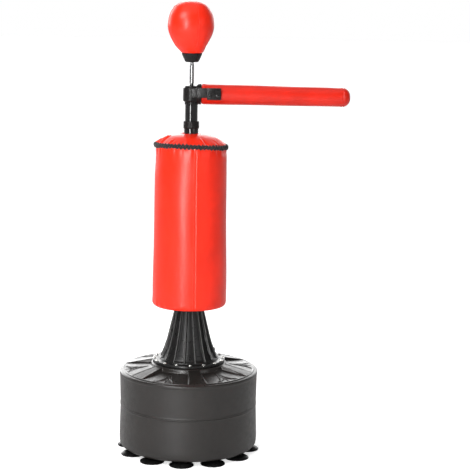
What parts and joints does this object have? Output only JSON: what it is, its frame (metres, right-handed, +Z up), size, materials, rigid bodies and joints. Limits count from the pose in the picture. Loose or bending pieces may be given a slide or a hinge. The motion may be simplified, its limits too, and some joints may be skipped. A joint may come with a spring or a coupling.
{
  "type": "punching bag on stand",
  "caption": "Free-standing boxing trainer: padded bag on a telescopic mast over a fillable round tank on suction cups, with a spinning padded arm and a sprung speed ball.",
  "frame": {"origin": "on the floor, on the mast's vertical axis, at the middle of the ring of suction cups", "axes": "+Z up along the mast, +X along the padded arm, -Y towards the front"},
  "size_m": [0.7855, 0.497, 1.551],
  "materials": {
    "tank_plastic": "blow-moulded dark grey plastic with a fine grain, satin",
    "black_plastic": "moulded black plastic, satin",
    "black_paint": "gloss black powder coat",
    "black_rubber": "black rubber, half gloss",
    "grey_plastic": "plain grey plastic, hidden bushes",
    "zinc_steel": "zinc plated steel",
    "chrome": "polished chrome plate",
    "red_leatherette": "red coated leatherette over foam, soft gloss, fine wrinkles",
    "foam": "hidden open-cell foam",
    "black_cord": "black braided lacing cord"
  },
  "bodies": {
    "base": {"tank_lower_shell": "tank_plastic", "tank_upper_shell": "tank_plastic", "suction_cup_01": "black_rubber", "suction_cup_02": "black_rubber", "suction_cup_03": "black_rubber", "suction_cup_04": "black_rubber", "suction_cup_05": "black_rubber", "suction_cup_06": "black_rubber", "suction_cup_07": "black_rubber", "suction_cup_08": "black_rubber", "suction_cup_09": "black_rubber", "suction_cup_10": "black_rubber", "suction_cup_11": "black_rubber", "suction_cup_12": "black_rubber", "pedestal_cone": "black_plastic", "flange_gasket": "black_rubber", "flange_screw_01": "zinc_steel", "flange_screw_02": "zinc_steel", "flange_screw_03": "zinc_steel", "flange_screw_04": "zinc_steel", "flange_screw_05": "zinc_steel", "flange_screw_06": "zinc_steel", "flange_screw_07": "zinc_steel", "flange_screw_08": "zinc_steel", "flange_screw_09": "zinc_steel", "flange_screw_10": "zinc_steel", "flange_screw_11": "zinc_steel", "flange_screw_12": "zinc_steel", "flange_screw_13": "zinc_steel", "flange_screw_14": "zinc_steel", "flange_screw_15": "zinc_steel", "flange_screw_16": "zinc_steel", "mast_lower_tube": "black_paint", "lock_sleeve": "grey_plastic", "bag_foam_core": "foam", "bag_cover": "red_leatherette", "bag_top_cover": "red_leatherette", "bag_bottom_cover": "black_plastic", "bag_lacing_cord": "black_cord"},
    "filler_plug": {"filler_cap": "black_plastic", "filler_seal": "black_rubber"},
    "height_lock": {"lock_nut": "black_plastic"},
    "upper_mast": {"mast_upper_tube": "black_paint", "upper_tube_guide": "grey_plastic", "thrust_ring": "black_plastic", "mast_cap": "black_plastic", "rebound_buffer": "black_rubber"},
    "reflex_arm": {"arm_hub": "black_plastic", "hub_bush": "grey_plastic", "arm_core_tube": "black_paint", "arm_pad": "red_leatherette", "arm_bolt_1": "black_paint", "arm_bolt_2": "black_paint", "arm_nut_1": "black_paint", "arm_nut_2": "black_paint"},
    "rod_swivel": {"swivel_ring": "grey_plastic"},
    "ball": {"ball_rod": "chrome", "rod_nut": "zinc_steel", "ball_cup": "black_plastic", "speed_ball": "red_leatherette"}
  },
  "joints": [
    {"name": "height_slide", "type": "slide", "parent": "base", "child": "upper_mast", "axis": [0, 0, 1], "range_m": [0, 0.5]},
    {"name": "lock_turn", "type": "hinge", "parent": "base", "child": "height_lock", "pos_m": [0, 0, 1.1226], "axis": [0, 0, 1], "range_deg": [0, 90]},
    {"name": "filler_lift", "type": "slide", "parent": "base", "child": "filler_plug", "axis": [0, 0, 1], "range_m": [0, 0.06]},
    {"name": "arm_spin", "type": "hinge", "parent": "upper_mast", "child": "reflex_arm", "pos_m": [0, 0, 1.2368], "axis": [0, 0, 1], "continuous": true},
    {"name": "ball_sway_front", "type": "hinge", "parent": "upper_mast", "child": "rod_swivel", "pos_m": [0, 0, 1.256], "axis": [1, 0, 0], "range_deg": [-15, 15], "stiffness_Nm_per_rad": 14},
    {"name": "ball_sway_side", "type": "hinge", "parent": "rod_swivel", "child": "ball", "pos_m": [0, 0, 1.256], "axis": [0, 1, 0], "range_deg": [-15, 15], "stiffness_Nm_per_rad": 14}
  ]
}
